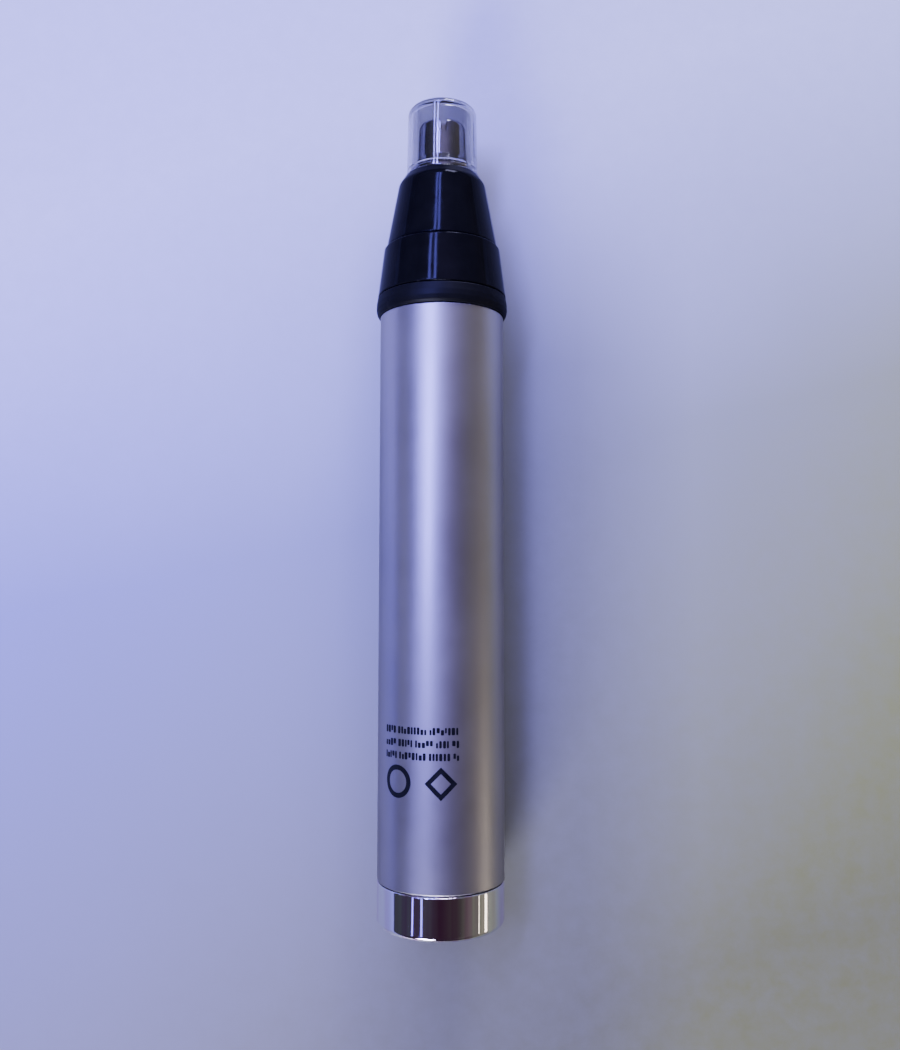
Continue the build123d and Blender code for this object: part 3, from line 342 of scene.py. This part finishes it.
def table_top():
    """Pale lavender painted table with painted light falloff, darker towards the base end and the lower
    right, and a painted shadow of the trimmer in a soft strip at its right.
    """
    m = Recipe("table_paint", IOR=1.45)
    cloud = m.noise(5, 4, 0.55)
    grain = m.noise(1500, 3, 0.6)
    mottle = m.noise(260, 4, 0.65)
    cloudy = m.spread(cloud, -0.008, 0.008)
    # Painted light falloff: the table runs from dim and warm towards the base end and the lower right to
    # bright and blue towards the head end and the upper left, as if lit from the upper left.
    painted_falloff_along = m.combine(m.along(-0.25, 0.97), cloudy)
    painted_falloff_across = m.span(m.combine(m.along(-0.80, 0.60), cloudy), -0.09, 0.09)
    near = m.blend(painted_falloff_across, (0.20, 0.21, 0.07), (0.31, 0.29, 0.50))
    middle = m.blend(painted_falloff_across, (0.40, 0.44, 0.12), (0.31, 0.30, 0.80))
    far = m.blend(painted_falloff_across, (0.78, 0.85, 0.74), (0.74, 0.72, 1.0))
    tone = m.blend(m.span(painted_falloff_along, 0.0, 0.075), m.blend(m.span(painted_falloff_along, -0.09, 0.0), near, middle), far)
    # Painted shadow of the trimmer: a soft dark strip centred 14 mm to the right of the table's centre
    # line, at full strength within 12 mm of that, gone at 34 mm, and ending short of the head tip.
    painted_shadow_middle, painted_shadow_full, painted_shadow_end, painted_shadow_share = 14 * MM, 12 * MM, 34 * MM, 0.52
    from_painted_shadow = m.combine(m.combine(m.along(1, 0), -painted_shadow_middle), 0.0, "ABSOLUTE")
    short_of_tip = m.span(m.along(0, 1), 28 * MM, 68 * MM, 1.0, 0.0)
    painted_shadow_mask = m.combine(m.span(from_painted_shadow, painted_shadow_full, painted_shadow_end, painted_shadow_share, 0.0), short_of_tip, "MULTIPLY")
    shaded = m.blend(painted_shadow_mask, tone, (0.10, 0.10, 0.09))
    fleck = m.blend(m.spread(mottle, 0.0, 0.09), shaded, (0.34, 0.35, 0.45))
    rough = m.spread(grain, 0.42, 0.56)
    return m.use(Base_Color=fleck, Roughness=rough, Normal=m.bump(grain, 0.01 * MM, 0.25))


def finishes():
    """Material of each slot of the record."""
    return {
        "chrome_plating": mirror_chrome(),
        "anodised_tube": anodised_aluminium(),
        "gloss_black": gloss_black(),
        "collar_black": matte_black(),
        "black_moulding": matte_black(),
        "clear_plastic": clear_plastic(),
        "cutter_steel": polished_steel("cutter_steel", (0.62, 0.60, 0.74), 0.05, 0.09, 6000, 0.12),
        "blade_steel": polished_steel("blade_steel", (0.68, 0.68, 0.70), 0.16, 0.26, 9000),
        "shaft_steel": polished_steel("shaft_steel", (0.60, 0.60, 0.61), 0.12, 0.2, 9000),
        "natural_nylon": moulded("natural_nylon", (0.74, 0.72, 0.65), (0.66, 0.64, 0.57)),
        "chassis_plastic": moulded("chassis_plastic", (0.62, 0.62, 0.60), (0.55, 0.55, 0.53)),
        "seal_rubber": moulded("seal_rubber", (0.022, 0.022, 0.024), (0.014, 0.014, 0.016), 0.55, 0.75),
        "capacitor_case": moulded("capacitor_case", (0.52, 0.19, 0.06), (0.44, 0.15, 0.05), 0.18, 0.3),
        "cell_wrap": moulded("cell_wrap", (0.03, 0.20, 0.11), (0.02, 0.15, 0.08), 0.16, 0.26),
        "board_laminate": moulded("board_laminate", (0.36, 0.21, 0.07), (0.28, 0.16, 0.05), 0.35, 0.5),
        "diode_epoxy": moulded("diode_epoxy", (0.03, 0.03, 0.032), (0.018, 0.018, 0.02), 0.2, 0.35),
        "resistor_paint": moulded("resistor_paint", (0.62, 0.47, 0.27), (0.52, 0.38, 0.20), 0.25, 0.4),
        "red_lead": moulded("red_lead", (0.55, 0.03, 0.02), (0.42, 0.02, 0.015), 0.3, 0.45),
        "ferrite": moulded("ferrite", (0.06, 0.06, 0.063), (0.035, 0.035, 0.037), 0.5, 0.7),
        "gold_contact": metal("gold_contact", (0.86, 0.62, 0.25), (0.74, 0.50, 0.19), 0.16, 0.28),
        "screw_steel": metal("screw_steel", (0.56, 0.56, 0.57), (0.44, 0.44, 0.45)),
        "nickel_strip": metal("nickel_strip", (0.64, 0.61, 0.56), (0.54, 0.51, 0.47)),
        "motor_steel": metal("motor_steel", (0.54, 0.54, 0.54), (0.44, 0.44, 0.44)),
        "spring_steel": metal("spring_steel", (0.48, 0.48, 0.49), (0.38, 0.38, 0.39)),
        "bronze": metal("bronze", (0.55, 0.36, 0.17), (0.44, 0.28, 0.12), 0.35, 0.5),
        "copper": wound_copper(),
        "lamination": stacked_steel(),
    }


def paint_nodes():
    """Give every CAD node the finish of its slot."""
    by_slot = finishes()
    for part in frame["record"]["subparts"]:
        obj = frame["nodes"][part["node"]]
        material = by_slot[part["material_slot"]]
        for holder in obj.material_slots:
            holder.material = material
        obj.data.polygons.foreach_set("use_smooth", [True] * len(obj.data.polygons))


# ---------------------------------------------------------------- printed block
INK_THICK = 0.015 * MM
INK_LIFT = 0.004 * MM
PRINT_LEFT = math.radians(-55.5)
PRINT_WIDTH = math.radians(72.5)
# The rest is millimetres, with stations measured from the base end.
ROW_TOPS = (34.35, 32.25, 30.2)
ROW_HEIGHT = 1.2
LETTER_WIDTHS = (0.30, 0.58)
LETTER_GAPS = (0.15, 0.21)
WORD_GAP = 0.55
MARK_MIDDLE = 25.3
MARK_SIZE = 5.4
ROW_SEED = 40


def turn_of(length):
    """Angle round the tube that an arc of a length in mm takes."""
    return length * MM / TUBE_RADIUS


def on_tube(angle, station, lift):
    """Point at an angle from the top of the tube and a distance in mm from the base end."""
    radius = TUBE_RADIUS + lift
    return Vector((radius * math.sin(angle), BASE_Y + station * MM, AXIS_Z + radius * math.cos(angle)))


def ink_sheet(mesh, outline, inner=()):
    """Thin raised sheet with an outline, and a hole if inner is given; points are (angle, station)."""
    count = len(outline)
    layers = []
    for lift in (INK_LIFT, INK_LIFT + INK_THICK):
        layers.append([[mesh.verts.new(on_tube(*p, lift)) for p in loop] for loop in (outline, inner)])
    for loop in range(2 if inner else 1):
        low, high = layers[0][loop], layers[1][loop]
        for i in range(count):
            j = (i + 1) % count
            corners = (low[i], low[j], high[j], high[i])
            mesh.faces.new(corners if loop == 0 else corners[::-1])
    for layer, flip in ((0, True), (1, False)):
        rim, hole = layers[layer]
        if not inner:
            mesh.faces.new(rim[::-1] if flip else rim)
            continue
        for i in range(count):
            j = (i + 1) % count
            corners = (rim[i], rim[j], hole[j], hole[i])
            mesh.faces.new(corners[::-1] if flip else corners)


def ink_piece(name, build, material):
    """Object made by one ink drawing, riding on the body."""
    mesh = bmesh.new()
    build(mesh)
    bmesh.ops.recalc_face_normals(mesh, faces=mesh.faces)
    data = bpy.data.meshes.new(name)
    mesh.to_mesh(data)
    mesh.free()
    data.materials.append(material)
    obj = new_object(name, data)
    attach(obj, "body")


def block_outline(left, right, low, high):
    """Rounded bar between two angles, with enough points to follow the curve of the tube."""
    points = []
    steps = 6
    inset = (high - low) * 0.1
    turn = turn_of(inset)
    for i in range(steps + 1):
        points.append((left + turn + (right - left - 2 * turn) * i / steps, low))
    points.append((right, low + inset))
    points.append((right, high - inset))
    for i in range(steps + 1):
        points.append((right - turn - (right - left - 2 * turn) * i / steps, high))
    points.append((left, high - inset))
    points.append((left, low + inset))
    return points


def greeked_row(number):
    """One row of small blocks that stands for a line of print without any letters."""
    draw = random.Random(ROW_SEED + number)
    top = ROW_TOPS[number]

    def build(mesh):
        angle = PRINT_LEFT
        end = PRINT_LEFT + PRINT_WIDTH
        until_gap = draw.choice((3, 4, 5))
        while angle < end - 0.03:
            right = min(angle + turn_of(draw.uniform(*LETTER_WIDTHS)), end)
            low = top - ROW_HEIGHT * draw.choice((1.0, 1.0, 1.0, 0.72))
            high = top - ROW_HEIGHT * draw.choice((0.0, 0.0, 0.0, 0.28))
            ink_sheet(mesh, block_outline(angle, right, low, high))
            until_gap -= 1
            gap = draw.uniform(*LETTER_GAPS) if until_gap else WORD_GAP
            if not until_gap:
                until_gap = draw.choice((4, 5, 6, 8, 9))
            angle = right + turn_of(gap)
    return build


def closed_mark(middle_deg, sides, width):
    """Plain outline mark: many sides for a ring, four for a diamond."""
    middle = math.radians(middle_deg)
    points_round = 64

    def loop(radius):
        points = []
        per_side = points_round // sides
        corners = [2 * math.pi * i / sides for i in range(sides + 1)]
        for start, end in zip(corners, corners[1:]):
            for step in range(per_side):
                share = step / per_side
                x = radius * (math.cos(start) * (1 - share) + math.cos(end) * share)
                y = radius * (math.sin(start) * (1 - share) + math.sin(end) * share)
                points.append((middle + turn_of(x), MARK_MIDDLE + y))
        return points

    def build(mesh):
        outer = MARK_SIZE / 2
        ink_sheet(mesh, loop(outer), loop(outer - width))
    return build


def print_block():
    """Three rows of greeked print over a plain ring and a plain diamond."""
    navy = ink()
    for number in range(len(ROW_TOPS)):
        ink_piece(f"print_row_{number + 1}", greeked_row(number), navy)
    ink_piece("print_ring", closed_mark(-40.5, 64, 0.82), navy)
    ink_piece("print_diamond", closed_mark(0.5, 4, 1.05), navy)


# ---------------------------------------------------------------- stage
def floor():
    """Pale table under the trimmer."""
    size = 3.0
    data = bpy.data.meshes.new("table")
    corners = [(-size, -size, 0), (size, -size, 0), (size, size, 0), (-size, size, 0)]
    data.from_pydata(corners, [], [(0, 1, 2, 3)])
    data.materials.append(table_top())
    new_object("table", data)


def area_lamp(name, width, length, radiance, colour):
    """Rectangular lamp of a given radiance, its length along its own Y."""
    data = bpy.data.lights.new(name, "AREA")
    data.shape = "RECTANGLE"
    data.size = width
    data.size_y = length
    data.energy = radiance * math.pi * width * length
    data.color = colour
    return new_object(name, data)


def strip_light(name, start, end, width, radiance, colour):
    """Long soft lamp between two points, facing the trimmer."""
    start, end = Vector(start), Vector(end)
    centre = (start + end) / 2
    lamp = area_lamp(name, width, (end - start).length, radiance, colour)
    along = (end - start).normalized()
    back = (centre - (centre.dot(along)) * along).normalized()
    axes = Matrix((along.cross(back), along, back)).transposed()
    lamp.matrix_world = Matrix.Translation(centre) @ axes.to_4x4()


def soft_panel(name, place, size, radiance, colour):
    """Square soft lamp aimed at the trimmer."""
    lamp = area_lamp(name, size, size, radiance, colour)
    lamp.location = place
    lamp.rotation_euler = (-Vector(place)).to_track_quat("-Z", "Y").to_euler()


def ceiling_strips():
    """Twin strips overhead at the left, each in three stretches of its own radiance."""
    height, width, cool = 1.2, 0.08, (0.225, 0.215, 1.0)
    # Ends and breaks are (x, y) and y on a plane 1 m up, which height scales.
    strips = (("outer", (-1.10, -0.40), (-0.28, 0.97), (6.5, 23.0, 48.0)),
              ("inner", (-0.64, -0.40), (-0.11, 0.97), (4.0, 112.0, 48.0)))
    breaks = (-0.75, 0.00, 0.50, 1.25)
    for name, first, last, radiances in strips:
        slope = (last[0] - first[0]) / (last[1] - first[1])
        ends = [[height * c for c in (first[0] + (y - first[1]) * slope, y, 1.0)] for y in breaks]
        for number, radiance in enumerate(radiances):
            start, end = ends[number:number + 2]
            strip_light(f"ceiling_{name}_{number + 1}", start, end, width, radiance, cool)


def lamps():
    """Ceiling strips, low warm strips at the right, a wash at the left and a soft fill at each end."""
    warm = (1.0, 0.86, 0.70)
    ceiling_strips()
    strip_light("wall_strip_high", (1.35, -0.62, 0.45), (1.35, -0.36, 0.45), 0.03, 5, warm)
    strip_light("wall_wash", (-1.2, -0.2, 0.42), (-1.2, 0.35, 0.42), 0.35, 0.6, (0.6, 0.6, 1.0))
    strip_light("wall_strip_low", (1.35, -0.62, 0.065), (1.35, -0.36, 0.065), 0.12, 7, warm)
    soft_panel("table_fill_near", (-0.35, -1.02, 0.50), 0.40, 44, (0.70, 0.70, 1.0))
    soft_panel("table_fill_far", (0.40, 1.52, 0.50), 0.50, 36, (0.68, 0.68, 1.0))


def sky():
    """Dim room: each quarter has its own tone at the horizon, half way up and overhead."""
    heights = (0.18, 0.34, 0.60, 0.78)
    quarters = (
        ((1, 0), (0.34, 0.30, 0.25), (0.200, 0.180, 0.165), (0.070, 0.055, 0.060)),
        ((-1, 0), (0.06, 0.06, 0.09), (0.070, 0.070, 0.110), (0.080, 0.070, 0.110)),
        ((0, 1), (0.02, 0.02, 0.03), (0.240, 0.250, 0.420), (0.680, 0.580, 1.200)),
        ((0, -1), (0.03, 0.020, 0.03), (0.040, 0.020, 0.040), (0.045, 0.020, 0.040)),
    )
    world = bpy.data.worlds.new("room")
    bpy.context.scene.world = world
    world.use_nodes = True
    tree = world.node_tree

    def node(kind, *values, **settings):
        made = tree.nodes.new("ShaderNode" + kind)
        for key, value in settings.items():
            setattr(made, key, value)
        for socket, value in zip(made.inputs, values):
            if isinstance(value, (int, float)):
                socket.default_value = value
            else:
                tree.links.new(value, socket)
        return made

    place = node("TexCoord").outputs["Generated"]
    flat = node("VectorMath", place, operation="MULTIPLY")
    flat.inputs[1].default_value = (1, 1, 0)
    level = node("VectorMath", flat.outputs["Vector"], operation="NORMALIZE")
    turn = node("SeparateXYZ", level.outputs["Vector"])
    height = node("SeparateXYZ", place).outputs["Z"]
    total = None  # Sum of the quarters, each weighed by the squared cosine of its bearing.
    for (x, y), horizon, middle, ceiling in quarters:
        tone = node("ValToRGB", height)
        ramp = tone.color_ramp.elements
        ramp[0].position, ramp[1].position = heights[0], heights[-1]
        ramp[0].color, ramp[1].color = (*horizon, 1), (*ceiling, 1)
        for position in heights[1:-1]:
            ramp.new(position).color = (*middle, 1)
        towards = node("Math", turn.outputs["X" if x else "Y"], x + y, operation="MULTIPLY")
        facing = node("Math", towards.outputs[0], 0.0, operation="MAXIMUM")
        share = node("Math", facing.outputs[0], 2.0, operation="POWER")
        part = node("VectorMath", tone.outputs["Color"], operation="SCALE")
        tree.links.new(share.outputs[0], part.inputs["Scale"])
        if total is not None:
            part = node("VectorMath", total.outputs[0], part.outputs[0], operation="ADD")
        total = part
    background = tree.nodes["Background"]
    tree.links.new(total.outputs[0], background.inputs["Color"])
    background.inputs["Strength"].default_value = 1.0


def camera():
    """Camera above the tube, looking down with a slight tilt towards the head."""
    off_centre, station, above_axis = 1.53 * MM, 56.22 * MM, 170.42 * MM
    tilt, roll = math.radians(4.083), math.radians(0.076)
    data = bpy.data.cameras.new("camera")
    data.sensor_width = 36
    data.lens = 33.05
    data.clip_start = 0.005
    data.clip_end = 20
    obj = new_object("camera", data)
    obj.location = (off_centre, BASE_Y + station, AXIS_Z + above_axis)
    obj.rotation_euler = (tilt, 0, roll)
    bpy.context.scene.camera = obj


paint_nodes()
print_block()
floor()
lamps()
sky()
camera()
